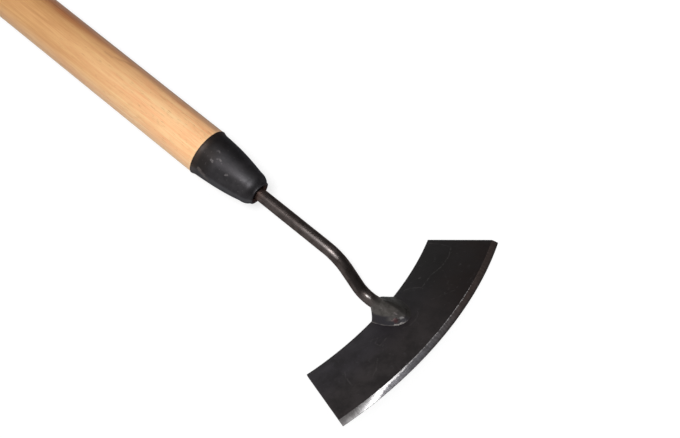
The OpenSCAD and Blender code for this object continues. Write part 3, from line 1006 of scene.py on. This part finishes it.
class HOE_OT_weld(bpy.types.Operator):
    """Builds up the weld round the foot, ring on ring, and smooths it"""

    bl_idname = "hoe.weld"
    bl_label = "Weld"

    def execute(self, context):
        s, c, d = hoe(context)
        base = s.blade_t
        ring = {"vertices": 72, "radius": 1.0, "location": (0, 0, base)}
        piece = fresh("weld_fillet", bpy.ops.mesh.primitive_circle_add, **ring)
        tiny = 1e-6

        def stretch_part(front, factor):
            pick("VERT", lambda v: v.co.z > top - tiny and (v.co.x > tiny if front else v.co.x < -tiny))
            resize((factor, 1, 1), (0, 0, 0))

        # Each ring has its rise, its half width, and how far it reaches to the front and to the back.
        toe = (0.0, s.weld_width / 2, s.weld_length, 0.04 * s.weld_back)
        shoulder = (s.shoulder_rise, s.shoulder_width / 2, 0.745 * s.weld_length, 0.93 * s.weld_back)
        crest = (s.weld_rise, 0.8 * d.bar_r, 0.44 * s.weld_length, s.weld_back)
        flank = [[between(a, b, u) for a, b in zip(toe, shoulder)] for u in (0.0, 0.06, 0.3, 0.6, 0.88)]
        over = [[between(a, b, u) for a, b in zip(shoulder, crest)] for u in (0.06, 0.2, 0.5, 0.8, 1.0)]
        top, wide, front, back = base, 1.0, 1.0, 1.0
        for rise, next_wide, next_front, next_back in flank + over:
            step = base + rise - top
            if step > tiny:
                pick("VERT", lambda v: v.co.z > top - tiny)
                extrude((0, 0, step))
                top += step
            pick("VERT", lambda v: v.co.z > top - tiny)
            resize((1, next_wide / wide, 1), (0, 0, 0))
            stretch_part(True, next_front / front)
            stretch_part(False, next_back / back)
            wide, front, back = next_wide, next_front, next_back
        leave_edit()
        finish_with(piece, "SUBSURF", levels=2, render_levels=2)
        bpy.ops.object.mode_set(mode="EDIT")
        close_ends()
        above_foot = 0.08 * MM
        cut(d.slope_start + above_foot * d.slope_up, d.slope_up, use_fill=True, clear_outer=True)
        face_outwards()
        leave_edit()
        dent(piece, "weld_ripples", patch=4 * MM, depth=0.25 * MM)
        set_down(piece, d.rest @ d.blade_frame, sharp=radians(50))
        hand_over(piece, "weld", "weld_steel", dressed_weld(s, c, d))
        return {"FINISHED"}


class HOE_OT_stage(bpy.types.Operator):
    """Lays the floor, hangs the lamps and sets up the camera"""

    bl_idname = "hoe.stage"
    bl_label = "Stage"

    def execute(self, context):
        scene = context.scene
        scene.view_settings.view_transform = "Standard"
        scene.world = studio_world()

        floor = fresh("floor", bpy.ops.mesh.primitive_plane_add, size=160.0, location=(0, 0, 0))
        leave_edit()
        floor.data.materials.append(pale_floor(scene.hoe_colours))

        lamp_distance = 3
        for name, towards, strength, softness in (
            ("key", (0.10, -0.41, 0.907), 2.22, 14.0),
            ("fill", (-0.28, -0.82, 0.50), 0.98, 80.0),
            ("overhead", (0.0, -0.01, 1.0), 0.20, 6.0),
            ("overhead_far", (-0.15, 0.11, 0.983), 0.13, 6.0),
            ("side", (0.0, 0.65, 0.76), 0.20, 30.0),
        ):
            bpy.ops.object.select_all(action="DESELECT")
            bpy.ops.object.light_add(type="SUN", location=Vector(towards) * lamp_distance)
            lamp = context.object
            lamp.name = lamp.data.name = name
            lamp.rotation_euler = Vector(towards).to_track_quat("Z", "Y").to_euler()
            lamp.data.energy = strength
            lamp.data.angle = radians(softness)

        bpy.ops.object.select_all(action="DESELECT")
        bpy.ops.object.camera_add()
        camera = context.object
        camera.name = camera.data.name = "camera"
        right = Vector((0.765403, 0.630702, 0.127958))
        down = Vector((0.608699, -0.644950, -0.462088))
        ahead = Vector((-0.208913, 0.431571, -0.877554))
        turned_to = Matrix((right, -down, -ahead)).transposed().to_4x4()
        place = (0.847, -0.233435, 0.548622)
        camera.matrix_world = Matrix.Translation(place) @ turned_to
        camera.data.sensor_fit = "HORIZONTAL"
        camera.data.sensor_width = 36.0
        camera.data.lens = 47.849
        scene.camera = camera
        return {"FINISHED"}


class HOE_PT_build(bpy.types.Panel):
    """Lists the pieces of the hoe"""

    bl_idname = "HOE_PT_build"
    bl_label = "Push hoe"
    bl_space_type = "VIEW_3D"
    bl_region_type = "UI"
    bl_category = "Hoe"

    def draw(self, context):
        for operator in OPERATORS:
            self.layout.operator(operator.bl_idname)
        for group in (context.scene.hoe_sizes, context.scene.hoe_colours):
            box = self.layout.box()
            for name in group.bl_rna.properties.keys():
                if name not in ("name", "rna_type"):
                    box.prop(group, name)


OPERATORS = (HOE_OT_handle, HOE_OT_ferrule, HOE_OT_neck, HOE_OT_blade, HOE_OT_weld, HOE_OT_stage)
CLASSES = (HoeSizes, HoeColours, *OPERATORS, HOE_PT_build)


def register():
    for item in CLASSES:
        bpy.utils.register_class(item)
    bpy.types.Scene.hoe_sizes = PointerProperty(type=HoeSizes)
    bpy.types.Scene.hoe_colours = PointerProperty(type=HoeColours)


def unregister():
    del bpy.types.Scene.hoe_colours
    del bpy.types.Scene.hoe_sizes
    for item in reversed(CLASSES):
        bpy.utils.unregister_class(item)


def main():
    register()
    bpy.ops.hoe.handle()
    bpy.ops.hoe.ferrule()
    bpy.ops.hoe.neck()
    bpy.ops.hoe.blade()
    bpy.ops.hoe.weld()
    bpy.ops.hoe.stage()


if __name__ == "__main__":
    main()
